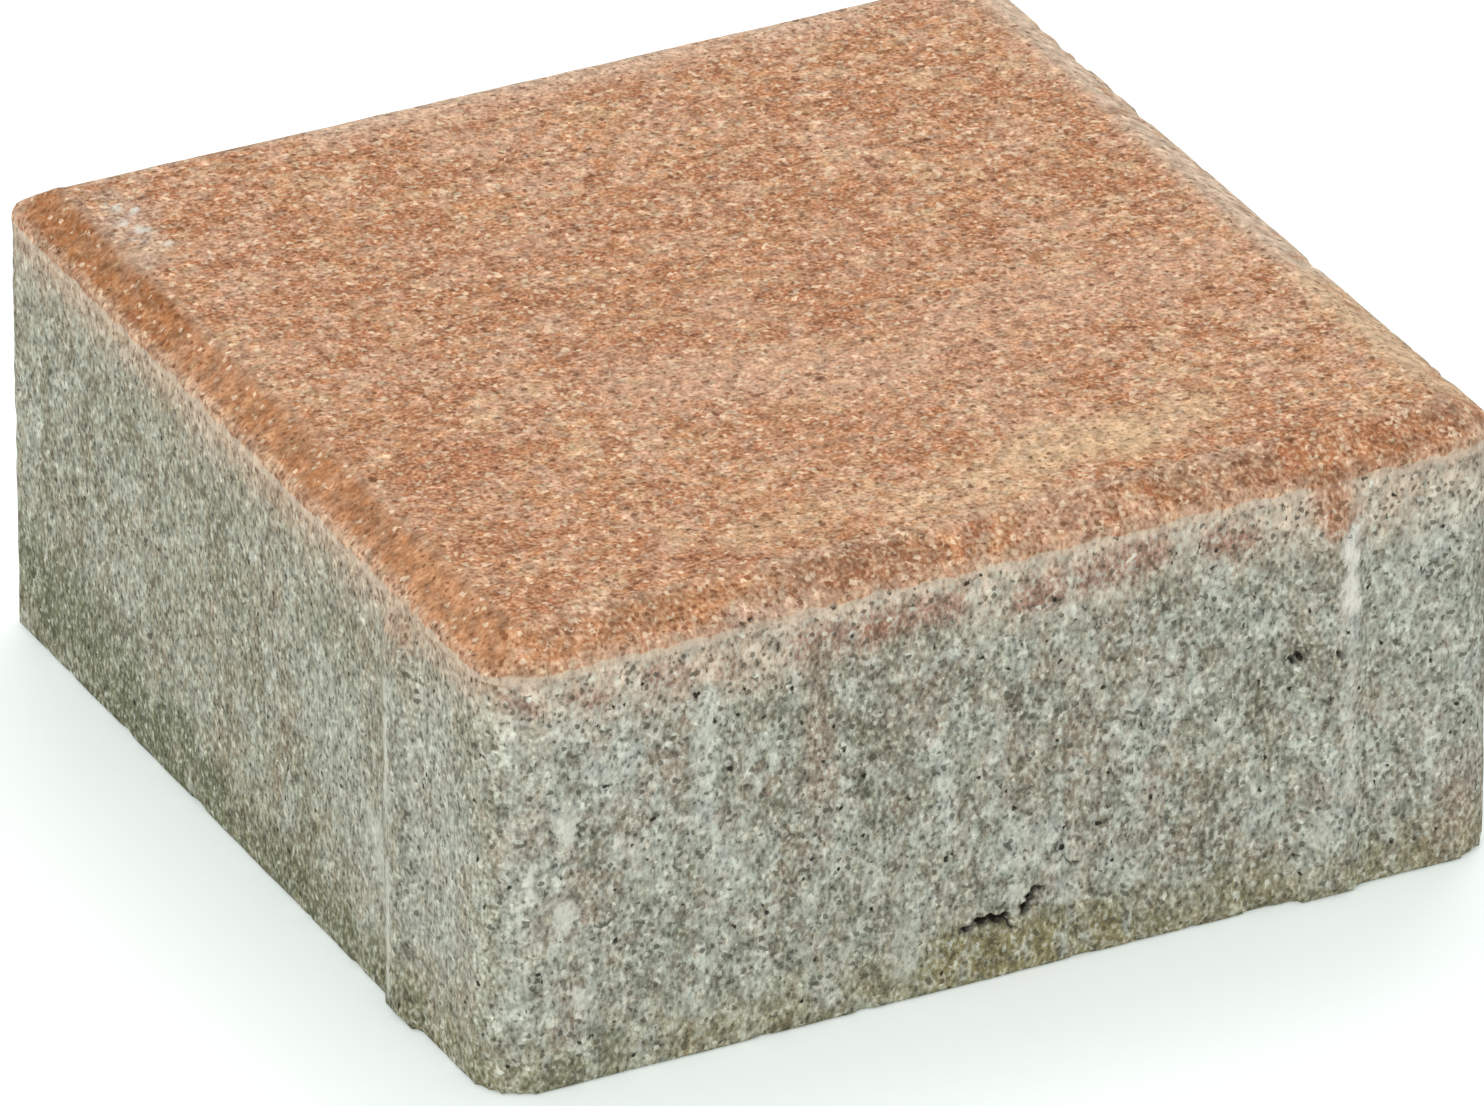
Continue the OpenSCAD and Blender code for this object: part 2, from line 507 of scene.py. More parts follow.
class Places:
    """How near each point of the stone is to its edges and ribs, from its shape before wear."""

    def __init__(self, points, shape):
        x, y, z = np.abs(points[:, 0]), np.abs(points[:, 1]), points[:, 2]
        core = block_side(shape) / 2 - shape.corner_radius
        out_x, out_y = x - core, y - core
        round_out = np.hypot(np.maximum(out_x, 0), np.maximum(out_y, 0))
        inset = shape.corner_radius - round_out - np.minimum(np.maximum(out_x, out_y), 0)
        shoulder = shoulder_of(shape)
        self.outer_edge = np.hypot(inset, z - shoulder)
        self.inner_edge = np.hypot(inset - shape.chamfer_width, z - STONE_HIGH.z)
        self.bed_edge = np.hypot(inset, z)
        on_slope = 1 - ease(inset - shape.chamfer_width, *SLOPE_FADE)
        off_rim = ease(self.outer_edge, *RIM_FADE)
        self.chamfer = on_slope * off_rim * ease(z - shoulder, -SHOULDER_FADE, SHOULDER_FADE)
        self.upper = ease(z - shoulder, *UPPER_FADE)
        self.bed = 1 - ease(z, 0.0, BED_FADE)
        corner_reach = np.minimum(out_x, out_y) / shape.corner_radius
        self.upright_edge = ease(corner_reach, 0.0, 0.5) * (1 - self.upper)
        self.on_rib = self.near_rib(points, shape)

    def near_rib(self, points, shape):
        """1 along the middle of each rib, 0 beside it."""
        along = block_side(shape) / 2 - shape.rib_inset
        nearest = np.full(len(points), np.inf)
        for turn in range(SIDES):
            swing = -turn * math.tau / SIDES
            x = points[:, 0] * math.cos(swing) - points[:, 1] * math.sin(swing)
            y = points[:, 0] * math.sin(swing) + points[:, 1] * math.cos(swing)
            off = np.where(y < 0, np.abs(x - along), np.inf)
            nearest = np.minimum(nearest, off)
        return 1 - ease(nearest, shape.rib_width * 0.25, shape.rib_width * 0.5)

    def arrises(self):
        """1 on the sharp edges, which rub and chip: most on the outer one, least on the bed."""
        near = np.minimum(np.minimum(self.outer_edge, self.inner_edge * 1.6), self.bed_edge * 2.5)
        return np.maximum(1 - ease(near, ARRIS_REACH * 0.25, ARRIS_REACH), self.upright_edge * 0.4)


def paint_group(stone, name, weights):
    """A vertex group with one weight for each point."""
    group = stone.vertex_groups.new(name=name)
    for index, weight in enumerate(weights):
        if weight > 0.01:
            group.add((index,), float(weight), "REPLACE")
    return group.name


def store_values(mesh, name, values):
    """A named value for each point, for the material to read."""
    layer = mesh.attributes.new(name, "FLOAT", "POINT")
    layer.data.foreach_set("value", np.ascontiguousarray(values, np.float32))


def cloud_texture(name, size, depth=2, keep=None):
    """Soft noise of one size; keep is the band of its values that is stretched from 0 to 1."""
    made = bpy.data.textures.new(name, "CLOUDS")
    made.noise_scale = size
    made.noise_depth = depth
    made.noise_basis = "IMPROVED_PERLIN"
    return keep_band(made, keep)


def cell_texture(name, size, keep):
    """Round spots about one size apart."""
    made = bpy.data.textures.new(name, "VORONOI")
    made.noise_scale = size
    return keep_band(made, keep)


def keep_band(texture, keep):
    """Stretch a band of the texture's values from 0 to 1."""
    if keep:
        texture.use_color_ramp = True
        low, high = texture.color_ramp.elements
        low.position, high.position = min(keep), max(keep)
        rising = keep[0] < keep[1]
        low.color = (0, 0, 0, 1) if rising else (1, 1, 1, 1)
        high.color = (1, 1, 1, 1) if rising else (0, 0, 0, 1)
    return texture


def press(stone, texture, depth, group, middle=0.5):
    """Push the group's points along their normals by the texture, both ways of its middle value."""
    apply_modifier(
        stone, texture.name, "DISPLACE", texture=texture, texture_coords="LOCAL",
        strength=depth, mid_level=middle, vertex_group=group,
    )


def refine_cracks(stone):
    """Cut the faces round the cracks and pits finer, so that these keep crisp rims."""
    select_only(stone)
    bpy.ops.object.mode_set(mode="EDIT")
    mesh = bmesh.from_edit_mesh(stone.data)
    bpy.ops.mesh.select_all(action="DESELECT")
    bpy.ops.mesh.select_mode(type="FACE")
    middles = np.array([face.calc_center_median() for face in mesh.faces])
    near = pits_along_marks(middles, CRACK_MARGIN) > 0
    for face, chosen in zip(mesh.faces, near):
        face.select_set(bool(chosen))
    bmesh.update_edit_mesh(stone.data)
    bpy.ops.mesh.subdivide(number_cuts=CRACK_CUTS)
    bpy.ops.object.mode_set(mode="OBJECT")


def wear_down(stone, places, wear):
    """Waves, sand lumps, air holes and chips, pressed into the cast surfaces."""
    grey = (1 - places.upper) * (1 - places.bed)
    everywhere = paint_group(stone, "all_faces", 1 - places.bed)
    face = paint_group(stone, "coloured_face", places.upper)
    sides = paint_group(stone, "grey_sides", grey)
    arrises = paint_group(stone, "arrises", places.arrises())
    pits = paint_group(stone, "pits", pits_along_marks(points_of(stone.data)))
    press(stone, cloud_texture("slow_waves", wear.wave_size, 1), wear.unevenness, everywhere)
    press(stone, cloud_texture("face_lumps", wear.face_lump_size, 3), wear.face_lumps, face)
    press(stone, cloud_texture("side_lumps", wear.side_lump_size, 3), wear.side_lumps, sides)
    press(stone, cell_texture("air_holes", wear.hole_spacing, (0.18, 0.06)), -wear.hole_depth, sides, 0)
    press(stone, cloud_texture("edge_rub", wear.rub_size, 3), -wear.chip_depth * 0.5, arrises, 0.3)
    chips = cloud_texture("edge_chips", wear.chip_size, 2, (0.56, 0.74))
    press(stone, chips, -wear.chip_depth, arrises, 0)
    apply_modifier(stone, "pits", "DISPLACE", strength=-wear.pit_depth, mid_level=0, vertex_group=pits)


def ragged_rims(points):
    """The points shifted a little to and fro, so that strokes drawn on them get uneven rims."""
    wave = points[:, (2, 0, 1)] + points[:, (1, 2, 0)] * 0.6
    return points + RIM_WOBBLE * np.sin(wave / RIM_WAVE)


def along_mark(points, radius, start, end):
    """1 along a brush stroke, falling to 0 beside it."""
    first, run = np.array(start) * MM, (np.array(end) - start) * MM
    part = np.clip((points - first) @ run / (run @ run), 0, 1)
    far = np.linalg.norm(points - first - part[:, None] * run, axis=1)
    return 1 - ease(far, radius * MM * 0.3, radius * MM * 1.3)


def pits_along_marks(points, margin=0):
    """1 along the marks that are cracks and pits, as wide as they are painted or wider by a margin."""
    points = ragged_rims(points)
    share = np.zeros(len(points))
    for name, strength, radius, start, end in MARKS:
        if name == PIT_MARK:
            share = np.maximum(share, strength * along_mark(points, radius + margin, start, end))
    return share


def paint_marks(mesh, layer_name, points, colours, names):
    """Paint the marks in the named colours on the mesh, as colour times cover and cover."""
    points = ragged_rims(points)
    paint = np.zeros((len(points), 4))
    for name, strength, radius, start, end in MARKS:
        if name in names:
            share = (strength * along_mark(points, radius, start, end))[:, None]
            paint = paint * (1 - share) + share * np.array((*getattr(colours, name), 1))
    layer = mesh.attributes.new(layer_name, "FLOAT_COLOR", "POINT")
    layer.data.foreach_set("color", paint.astype(np.float32).ravel())


def stay_on_bed(mesh):
    """Keep every point above the bed face."""
    points = points_of(mesh)
    points[:, 2] = np.maximum(points[:, 2], STONE_LOW.z)
    mesh.vertices.foreach_set("co", points.ravel())
    mesh.update()


class PAVING_OT_cast_stone(bpy.types.Operator):
    """Cast the paving stone, wear it and give it its two mixes of concrete"""

    bl_idname = "paving.cast_stone"
    bl_label = "Cast Stone"
    bl_options = {"REGISTER", "UNDO"}

    def execute(self, context):
        settings = context.scene.paving_stone
        shape = settings.shape
        stone = pressed_block(shape)
        fuse_ribs(stone, spacer_rib(shape))
        apply_modifier(stone, "cast", "REMESH", mode="VOXEL", voxel_size=shape.mesh_step)
        refine_cracks(stone)
        lay_bake_map(stone)
        before = points_of(stone.data)
        normals = np.empty(len(before) * 3)
        stone.data.vertex_normals.foreach_get("vector", normals)
        places = Places(before, shape)
        wear_down(stone, places, settings.wear)
        stay_on_bed(stone.data)
        moved = ((points_of(stone.data) - before) * normals.reshape(-1, 3)).sum(axis=1)
        # How far each point was pushed in, which the material paints as shade
        store_values(stone.data, "hollow_shade", np.clip(-moved / settings.wear.pit_depth, 0, 1))
        store_values(stone.data, "chamfer", places.chamfer)
        store_values(stone.data, "arris", places.arrises())
        store_values(stone.data, "on_rib", places.on_rib)
        paint_marks(stone.data, "marks", before, settings.colours, [mark[0] for mark in MARKS])
        paint_marks(stone.data, "films", before, settings.colours, FILMS)
        stone.vertex_groups.clear()
        select_only(stone)
        bpy.ops.object.shade_smooth()
        stone.data.materials.clear()
        stone.data.materials.append(Concrete(settings).build())
        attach(stone, "root")
        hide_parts(NODE)
        return {"FINISHED"}


# Material tools


class Wiring:
    """Adds and links the nodes of one tree."""

    def __init__(self, tree):
        self.tree = tree

    def node(self, kind, **settings):
        """Add a node."""
        made = self.tree.nodes.new(kind)
        for key, value in settings.items():
            setattr(made, key, value)
        return made

    def put(self, socket, value):
        """Link a socket to the value, or set it."""
        if isinstance(value, bpy.types.NodeSocket):
            self.tree.links.new(value, socket)
        elif socket.type == "RGBA":
            socket.default_value = (*value[:3], 1)
        else:
            socket.default_value = value

    def math(self, operation, first, second=0.0):
        """Work out one value from one or two."""
        made = self.node("ShaderNodeMath", operation=operation)
        self.put(made.inputs[0], first)
        self.put(made.inputs[1], second)
        return made.outputs[0]

    def add(self, first, second):
        return self.math("ADD", first, second)

    def minus(self, first, second):
        return self.math("SUBTRACT", first, second)

    def times(self, first, second):
        return self.math("MULTIPLY", first, second)

    def without(self, share):
        """What a share leaves of 1."""
        return self.minus(1.0, share)

    def most(self, first, *rest):
        """The greatest of several values."""
        for other in rest:
            first = self.math("MAXIMUM", first, other)
        return first

    def step(self, value, start, end):
        """Smooth 0 to 1 as the value goes from start to end."""
        made = self.node("ShaderNodeMapRange", interpolation_type="SMOOTHSTEP")
        self.put(made.inputs["Value"], value)
        self.put(made.inputs["From Min"], start)
        self.put(made.inputs["From Max"], end)
        return made.outputs["Result"]

    def drawn_out(self, vector, drag):
        """Coordinates squeezed in height, on which a pattern is drawn out upright."""
        made = self.node("ShaderNodeVectorMath", operation="MULTIPLY")
        self.put(made.inputs[0], vector)
        self.put(made.inputs[1], (1, 1, drag))
        return made.outputs["Vector"]

    def shaded(self, tone, value, strength):
        """Lighten or darken a colour by a value about zero."""
        made = self.node("ShaderNodeVectorMath", operation="SCALE")
        self.put(made.inputs[0], tone)
        self.put(made.inputs["Scale"], self.add(self.times(value, strength), 1.0))
        return made.outputs["Vector"]

    def noise(self, vector, size):
        """Soft noise with lumps of one size."""
        made = self.node("ShaderNodeTexNoise")
        self.put(made.inputs["Vector"], vector)
        made.inputs["Scale"].default_value = 1 / size
        return made.outputs["Fac"]

    def cells(self, vector, size):
        """Cells of one size: the distance to each cell's middle, and three chance values for it."""
        made = self.node("ShaderNodeTexVoronoi", feature="F1")
        self.put(made.inputs["Vector"], vector)
        self.put(made.inputs["Scale"], self.math("DIVIDE", 1.0, size))
        parts = self.node("ShaderNodeSeparateColor")
        self.put(parts.inputs[0], made.outputs["Color"])
        return made.outputs["Distance"], parts.outputs

    def blend(self, share, first, second, kind="MIX"):
        """Lay a share of the second colour over the first."""
        made = self.node("ShaderNodeMix", data_type="RGBA", blend_type=kind)
        self.put(made.inputs["Factor"], share)
        colours = [socket for socket in made.inputs if socket.type == "RGBA"]
        self.put(colours[0], first)
        self.put(colours[1], second)
        return next(socket for socket in made.outputs if socket.type == "RGBA")

    def value_mix(self, share, first, second):
        """Go from the first value to the second as the share goes from 0 to 1."""
        made = self.node("ShaderNodeMix", data_type="FLOAT")
        self.put(made.inputs["Factor"], share)
        floats = [socket for socket in made.inputs if socket.type == "VALUE"]
        self.put(floats[1], first)
        self.put(floats[2], second)
        return made.outputs[0]

    def attribute(self, name):
        """A value that is stored on the mesh."""
        return self.node("ShaderNodeAttribute", attribute_name=name).outputs["Fac"]

    def group(self, tree, **inputs):
        """Place a node group with its own values."""
        made = self.node("ShaderNodeGroup", node_tree=tree)
        for name, value in inputs.items():
            self.put(made.inputs[name.replace("_", " ").title()], value)
        return made.outputs


def new_material(name):
    """An empty material and the wiring of its tree."""
    material = bpy.data.materials.new(name)
    material.use_nodes = True
    material.node_tree.nodes.clear()
    return material, Wiring(material.node_tree)


def new_group(name, inputs, outputs):
    """An empty shader node group; its sockets are given as name and kind."""
    tree = bpy.data.node_groups.new(name, "ShaderNodeTree")
    for way, sockets in (("INPUT", inputs), ("OUTPUT", outputs)):
        for label, kind in sockets.items():
            tree.interface.new_socket(label, in_out=way, socket_type="NodeSocket" + kind)
    wire = Wiring(tree)
    return wire, wire.node("NodeGroupInput").outputs, wire.node("NodeGroupOutput").inputs


def sand_group():
    """Sand grains of about one size: two chance values for each grain, and how it stands out."""
    wire, given, out = new_group(
        "sand",
        {"Position": "Vector", "Size": "Float"},
        {"Chance": "Float", "Tint": "Float", "Height": "Float"},
    )
    far, chance = wire.cells(given["Position"], given["Size"])
    wire.put(out["Chance"], chance[0])
    wire.put(out["Tint"], chance[2])
    wire.put(out["Height"], wire.times(wire.step(far, 0.8, 0.1), chance[1]))
    return wire.tree


def speckle_group():
    """Turns a tone pale or dark by its grit, and by a share of pale and dark grains."""
    wire, given, out = new_group(
        "speckle",
        {
            "Tone": "Color", "Pale": "Color", "Dark": "Color", "Grit": "Float", "Chance": "Float",
            "Spread": "Float", "Pale Share": "Float", "Dark Share": "Float",
        },
        {"Tone": "Color"},
    )
    other_end = wire.without(given["Chance"])
    pale_grain = wire.step(other_end, given["Pale Share"], wire.times(given["Pale Share"], 0.5))
    dark_grain = wire.step(given["Chance"], given["Dark Share"], wire.times(given["Dark Share"], 0.5))
    pale_grit = wire.times(wire.step(given["Grit"], 0.46, 0.72), given["Spread"])
    dark_grit = wire.times(wire.step(given["Grit"], 0.53, 0.27), given["Spread"])
    specks = wire.times(wire.step(given["Grit"], 0.38, 0.29), 0.9)
    lit = wire.blend(wire.most(pale_grit, wire.times(pale_grain, 0.8)), given["Tone"], given["Pale"])
    dim = wire.blend(wire.most(dark_grit, specks, wire.times(dark_grain, 0.75)), lit, given["Dark"])
    wire.put(out["Tone"], dim)
    return wire.tree


def pores_group():
    """Sparse ragged holes in cells of one spacing."""
    wire, given, out = new_group(
        "pores",
        {"Position": "Vector", "Ragged": "Float", "Spacing": "Float", "Radius": "Float", "Share": "Float"},
        {"Hole": "Float"},
    )
    far, chance = wire.cells(given["Position"], given["Spacing"])
    far = wire.add(far, wire.times(wire.minus(given["Ragged"], 0.5), 0.5))
    radius = wire.times(given["Radius"], wire.add(wire.times(chance[0], 0.7), 0.3))
    inside = wire.step(far, radius, wire.times(radius, 0.5))
    wire.put(out["Hole"], wire.times(inside, wire.math("LESS_THAN", chance[1], given["Share"])))
    return wire.tree


def clouds_group():
    """Three soft values of one patch size, each on its own."""
    wire, given, out = new_group(
        "clouds",
        {"Position": "Vector", "Size": "Float", "Detail": "Float", "Roughness": "Float"},
        {"First": "Float", "Second": "Float", "Third": "Float"},
    )
    made = wire.node("ShaderNodeTexNoise")
    wire.put(made.inputs["Vector"], given["Position"])
    wire.put(made.inputs["Scale"], wire.math("DIVIDE", 1.0, given["Size"]))
    wire.put(made.inputs["Detail"], given["Detail"])
    wire.put(made.inputs["Roughness"], given["Roughness"])
    parts = wire.node("ShaderNodeSeparateColor")
    wire.put(parts.inputs[0], made.outputs["Color"])
    for label, part in zip(("First", "Second", "Third"), parts.outputs):
        wire.put(out[label], part)
    return wire.tree


class Concrete:
    """Wires up the two mixes of concrete on the stone's own coordinates."""

    def __init__(self, settings):
        self.colours, self.shape = settings.colours, settings.shape
        self.material, self.wire = new_material("two_mix_concrete")
        wire = self.wire
        self.sand, self.speckle, self.pores = sand_group(), speckle_group(), pores_group()
        self.clouds = clouds_group()
        self.place = wire.node("ShaderNodeTexCoord").outputs["Object"]
        axes = wire.node("ShaderNodeSeparateXYZ")
        wire.put(axes.inputs[0], self.place)
        self.height = axes.outputs["Z"]
        self.below = wire.minus(shoulder_of(self.shape), self.height)
        sideways = wire.math("ABSOLUTE", axes.outputs["X"])
        forward = wire.math("ABSOLUTE", axes.outputs["Y"])
        self.turned = wire.step(wire.minus(sideways, forward), -SIDE_CHANGE, SIDE_CHANGE)
        self.left = wire.step(axes.outputs["X"], LEFT_CHANGE, -LEFT_CHANGE)
        drawn = wire.drawn_out(self.place, PATCH_DRAG)
        self.broad = wire.group(self.clouds, position=drawn, size=BROAD_PATCH, detail=2.0, roughness=0.6)
        self.blotch = wire.group(self.clouds, position=drawn, size=SMALL_PATCH, detail=4.0, roughness=0.75)
        self.grit = wire.noise(wire.drawn_out(self.place, GRIT_DRAG), GRIT_SIZE)
        self.grains = wire.group(self.sand, position=self.place, size=GRAIN_SIZE)
        self.tint = wire.group(self.sand, position=self.place, size=TINT_SIZE)["Tint"]
        self.streak = wire.noise(wire.drawn_out(self.place, STREAK_DRAG), STREAK_WIDTH)
        self.clump = wire.minus(wire.noise(wire.drawn_out(self.place, CLUMP_DRAG), CLUMP_SIZE), 0.5)
        wander = wire.times(wire.minus(self.blotch["First"], 0.5), BORDER_WANDER)
        self.ragged = wire.add(self.below, wander)
        off_lip = wire.math("ABSOLUTE", wire.minus(self.ragged, LIP_DROP))
        self.broken = wire.step(self.blotch["Third"], 0.30, 0.52)
        self.on_rib = wire.attribute("on_rib")
        self.slope = wire.attribute("chamfer")
        unbroken = wire.without(wire.times(self.on_rib, 0.8))
        self.lip = wire.times(wire.times(wire.step(off_lip, *LIP_BAND), 0.85), unbroken)

    def patches(self, tone, *patches):
        """Blend patches of other colours over a tone: value, start, end, strength, colour."""
        wire = self.wire
        for value, start, end, strength, other in patches:
            tone = wire.blend(wire.times(wire.step(value, start, end), strength), tone, other)
        return tone

    def face(self):
        """The terracotta mix of the top, denser on the chamfer; on the left-hand chamfer the darker colour
        is partly painted shade.
        """
        colours, wire = self.colours, self.wire
        tone = self.patches(
            colours.face_main,
            (self.broad["First"], 0.49, 0.60, 0.65, colours.face_deep),
            (self.broad["Second"], 0.50, 0.61, 0.65, colours.face_pale),
            (self.blotch["First"], 0.50, 0.58, 0.85, colours.face_pale),
            (self.blotch["Second"], 0.51, 0.60, 0.70, colours.face_ochre),
            (self.blotch["Third"], 0.50, 0.58, 0.90, colours.face_deep),
            (self.tint, 0.35, 0.10, 0.45, colours.face_pale),
            (self.tint, 0.65, 0.90, 0.45, colours.face_deep),
        )
        worn = wire.times(wire.step(self.broad["Third"], 0.40, 0.56), 0.5)
        # Left-hand chamfer: denser pigment, and painted shade as it faces away from the lamp
        left_pigment_and_shade = wire.times(self.turned, self.left)
        dense = wire.times(self.slope, wire.value_mix(left_pigment_and_shade, worn, 0.6))
        return wire.blend(dense, tone, wire.blend(left_pigment_and_shade, colours.chamfer_worn, colours.chamfer))

    def body(self):
        """The grey mix of the sides, with drag streaks from the mould."""
        colours = self.colours
        return self.patches(
            colours.core_main,
            (self.broad["First"], 0.50, 0.60, 0.85, colours.core_dark),
            (self.broad["Second"], 0.50, 0.60, 0.85, colours.core_pale),
            (self.broad["Third"], 0.50, 0.60, 0.65, colours.core_brown),
            (self.blotch["First"], 0.50, 0.60, 0.80, colours.core_pale),
            (self.blotch["Second"], 0.52, 0.62, 0.60, colours.core_brown),
            (self.blotch["Third"], 0.50, 0.60, 0.70, colours.core_dark),
            (self.streak, 0.52, 0.64, 0.32, colours.core_pale),
            (self.streak, 0.46, 0.36, 0.32, colours.core_dark),
            (self.turned, 0.0, 1.0, 0.35, colours.core_olive),
            (self.tint, 0.35, 0.10, 0.30, colours.core_brown),
            (self.tint, 0.65, 0.90, 0.30, colours.core_pale),
        )

    def cover(self):
        """Where the face mix covers the body: the top, runs over the edge and the rib tops."""
        wire = self.wire
        cap = wire.step(self.ragged, *CAP_BAND)
        fade = wire.times(wire.times(self.turned, wire.step(self.ragged, *FADE_BAND)), 0.5)
        runs = wire.times(wire.step(self.blotch["Second"], 0.5, 0.62), wire.step(self.ragged, *RUN_BAND))
        drip = wire.times(self.on_rib, wire.step(self.ragged, *DRIP_BAND))
        return wire.most(cap, fade, wire.times(runs, 0.35), wire.times(drip, 0.6))

    def marked(self, tone, layer_name, strength):
        """The marks that are painted on the mesh, with ragged rims."""
        wire = self.wire
        paint = wire.node("ShaderNodeAttribute", attribute_name=layer_name)
        keep = wire.times(self.broken, strength)
        share = wire.times(paint.outputs["Alpha"], keep)
        return wire.blend(keep, wire.blend(share, tone, (0, 0, 0)), paint.outputs["Color"], "ADD")

    def weathered(self, tone):
        """Rubbed arrises and lip, cement dust below the lip and a darker, yellower tone along the bed."""
        colours, wire = self.colours, self.wire
        dust = wire.times(wire.step(self.ragged, *DUST_BAND), wire.step(self.ragged, *DUST_TOP))
        dust = wire.times(dust, wire.add(wire.times(wire.step(self.streak, 0.42, 0.6), 0.35), 0.62))
        dust = wire.times(dust, wire.without(wire.times(self.turned, 0.6)))
        rubbed = wire.times(wire.attribute("arris"), wire.step(self.below, *RUB_BAND))
        # A darker, yellower tone towards the bed
        toward_bed = wire.times(wire.step(self.height, *BED_TONE_BAND), self.broken)
        tone = wire.blend(dust, tone, colours.lip)
        tone = wire.blend(wire.most(self.lip, wire.times(rubbed, 0.3)), tone, colours.lip)
        return wire.blend(wire.times(toward_bed, 0.65), tone, colours.bed_tone)

    def speckled(self, tone, cover):
        """Coarse and fine grains in the colours of the mix they lie in."""
        colours, wire = self.colours, self.wire
        pale = wire.blend(cover, colours.stone_pale, colours.sand_pale)
        dark = wire.blend(cover, colours.stone_dark, colours.sand_dark)
        calm = wire.without(wire.times(wire.times(self.slope, self.turned), 0.5))
        speckled = wire.group(
            self.speckle, tone=tone, pale=pale, dark=dark, grit=self.grit,
            chance=self.grains["Chance"], spread=wire.times(calm, wire.value_mix(cover, 0.62, 0.52)),
            pale_share=wire.times(calm, wire.value_mix(cover, 0.05, 0.11)),
            dark_share=wire.times(calm, wire.value_mix(cover, 0.05, 0.04)),
        )["Tone"]
        return wire.shaded(speckled, self.clump, 1.6)

    def build(self):
        """The finished material."""
        colours, wire = self.colours, self.wire
        cover = self.cover()
        bare = wire.without(cover)
        tone = self.weathered(wire.blend(cover, self.body(), self.face()))
        tone = self.speckled(self.marked(tone, "marks", 1.0), cover)
        tone = self.marked(tone, "films", 0.95)
        tone = wire.blend(wire.times(self.lip, 0.5), tone, colours.lip)
        holes = wire.group(
            self.pores, position=self.place, ragged=self.grit, spacing=PORE_SPACING, radius=0.14, share=0.6
        )["Hole"]
        # Painted shade in the pores
        pore_shade = wire.times(holes, wire.add(wire.times(bare, 0.7), 0.2))
        tone = wire.blend(pore_shade, tone, colours.hole_shade)
        # Painted shade in the dents, darker where they are deeper
        hollow_shade = wire.attribute("hollow_shade")
        tone = wire.blend(wire.times(hollow_shade, hollow_shade), tone, colours.hole_shade)
        height = wire.add(self.grit, wire.times(self.grains["Height"], 0.4))
        bump = wire.node("ShaderNodeBump")
        bump.inputs["Strength"].default_value = 0.8
        bump.inputs["Distance"].default_value = BUMP_DEPTH
        wire.put(bump.inputs["Height"], wire.minus(height, holes))
        shader = wire.node("ShaderNodeBsdfPrincipled")
        wire.put(shader.inputs["Base Color"], tone)
        shader.inputs["Roughness"].default_value = 0.92
        shader.inputs["Specular IOR Level"].default_value = 0.25
        wire.put(shader.inputs["Normal"], bump.outputs["Normal"])
        wire.put(wire.node("ShaderNodeOutputMaterial").inputs["Surface"], shader.outputs["BSDF"])
        return self.material


# The stage


def pale_floor(stage, colours):
    """A wide floor that the camera sees near white, with the stone's shadow kept."""
    bpy.ops.object.select_all(action="DESELECT")
    bpy.ops.mesh.primitive_plane_add(size=FLOOR_SIZE, location=(0, 0, -FLOOR_DROP))
    floor = bpy.context.object
    floor.name = floor.data.name = "studio_floor"
    bpy.ops.object.transform_apply(location=True, rotation=True, scale=True)
    material, wire = new_material("studio_floor")
    shader = wire.node("ShaderNodeBsdfDiffuse")
    wire.put(shader.inputs["Color"], tuple(colours.floor))
    glow = wire.node("ShaderNodeEmission")
    wire.put(glow.inputs["Color"], tuple(colours.floor_glow))
    seen = wire.node("ShaderNodeLightPath").outputs["Is Camera Ray"]
    wire.put(glow.inputs["Strength"], wire.times(seen, stage.floor_lift))
    both = wire.node("ShaderNodeAddShader")
    wire.put(both.inputs[0], shader.outputs[0])
    wire.put(both.inputs[1], glow.outputs[0])
    wire.put(wire.node("ShaderNodeOutputMaterial").inputs["Surface"], both.outputs[0])
    floor.data.materials.append(material)


def even_sky(stage):
    """Even white light from all round, with a white background for the camera."""
    world = bpy.data.worlds.new("studio_sky")
    bpy.context.scene.world = world
    world.use_nodes = True
    wire = Wiring(world.node_tree)
    back = world.node_tree.nodes["Background"]
    back.inputs["Color"].default_value = (1, 1, 1, 1)
    seen = wire.node("ShaderNodeLightPath").outputs["Is Camera Ray"]
    wire.put(back.inputs["Strength"], wire.value_mix(seen, stage.sky, 1.0))


def soft_lamp(name, place, size, power):
    """A square soft lamp that points at the stone."""
    bpy.ops.object.select_all(action="DESELECT")
    bpy.ops.object.light_add(type="AREA", location=place)
    lamp = bpy.context.object
    lamp.name = lamp.data.name = name
    lamp.data.size = size
    lamp.data.energy = power
    middle = (STONE_LOW + STONE_HIGH) / 2
    lamp.rotation_euler = (middle - Vector(place)).to_track_quat("-Z", "Y").to_euler()


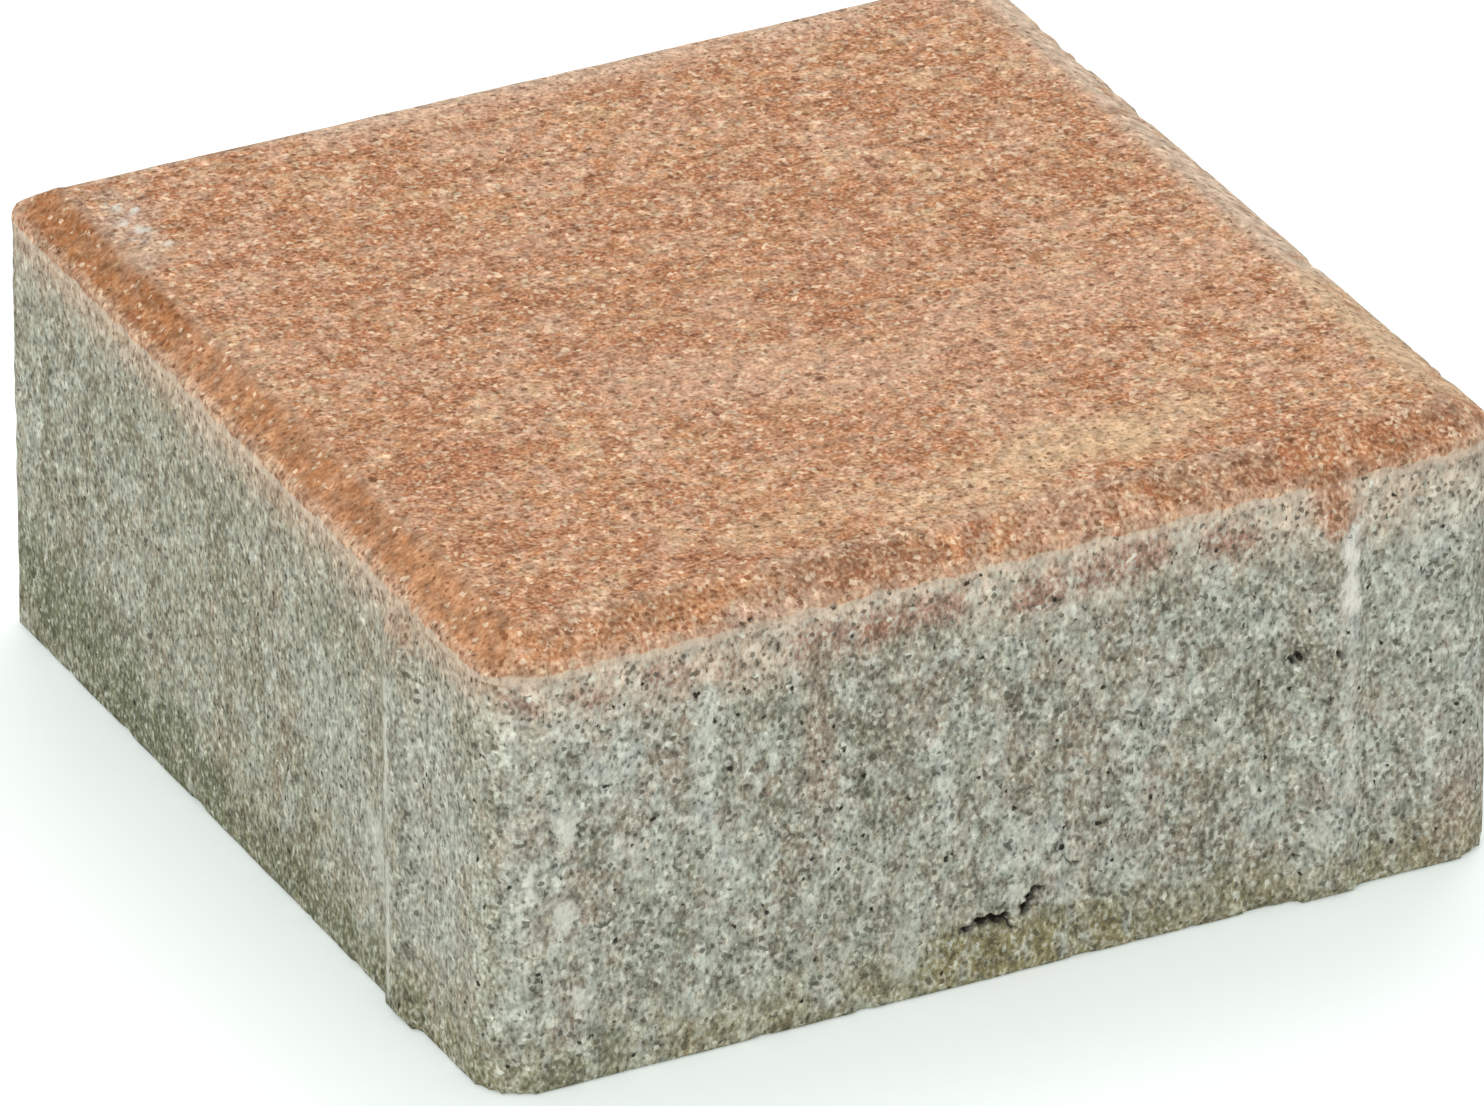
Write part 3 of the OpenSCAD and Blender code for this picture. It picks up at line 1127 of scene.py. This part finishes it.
def photo_camera(stage):
    """A long lens at the photograph's angle."""
    aim = Vector(stage.aim)
    level = stage.distance * math.cos(stage.elevation)
    place = aim + Vector((
        -level * math.sin(stage.azimuth),
        -level * math.cos(stage.azimuth),
        stage.distance * math.sin(stage.elevation),
    ))
    bpy.ops.object.select_all(action="DESELECT")
    bpy.ops.object.camera_add(location=place)
    camera = bpy.context.object
    camera.name = camera.data.name = "photo_camera"
    camera.rotation_euler = (aim - place).to_track_quat("-Z", "Y").to_euler()
    camera.data.sensor_fit = "HORIZONTAL"
    camera.data.lens = stage.focal_pixels / PHOTO_WIDTH * camera.data.sensor_width
    camera.data.clip_end = VIEW_REACH
    bpy.context.scene.camera = camera


class PAVING_OT_lay_stage(bpy.types.Operator):
    """Lay the pale floor, set the soft light and place the camera"""

    bl_idname = "paving.lay_stage"
    bl_label = "Lay Stage"
    bl_options = {"REGISTER", "UNDO"}

    def execute(self, context):
        settings = context.scene.paving_stone
        stage = settings.stage
        context.scene.view_settings.view_transform = "Standard"
        pale_floor(stage, settings.colours)
        even_sky(stage)
        soft_lamp("key_lamp", stage.key_place, stage.key_size, stage.key_power)
        soft_lamp("fill_lamp", stage.fill_place, stage.fill_size, stage.fill_power)
        photo_camera(stage)
        return {"FINISHED"}


class PAVING_PT_sidebar(bpy.types.Panel):
    """Sizes, colours and steps of the paving stone"""

    bl_idname = "PAVING_PT_sidebar"
    bl_label = "Paving Stone"
    bl_space_type = "VIEW_3D"
    bl_region_type = "UI"
    bl_category = "Paving"

    def draw(self, context):
        settings = context.scene.paving_stone
        for part in (settings.shape, settings.wear, settings.colours, settings.stage):
            box = self.layout.box()
            for name in part.__annotations__:
                box.prop(part, name)
        self.layout.operator(PAVING_OT_cast_stone.bl_idname)
        self.layout.operator(PAVING_OT_lay_stage.bl_idname)


CLASSES = (
    StoneShape, StoneWear, StoneColours, StudioStage, PavingSettings,
    PAVING_OT_cast_stone, PAVING_OT_lay_stage, PAVING_PT_sidebar,
)


def register():
    """Add the settings, the operators and the panel."""
    for kind in CLASSES:
        bpy.utils.register_class(kind)
    bpy.types.Scene.paving_stone = PointerProperty(type=PavingSettings)


def unregister():
    """Take the settings, the operators and the panel away again."""
    del bpy.types.Scene.paving_stone
    for kind in reversed(CLASSES):
        bpy.utils.unregister_class(kind)


def main():
    """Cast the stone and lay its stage."""
    register()
    bpy.ops.paving.cast_stone()
    bpy.ops.paving.lay_stage()


if __name__ == "__main__":
    main()
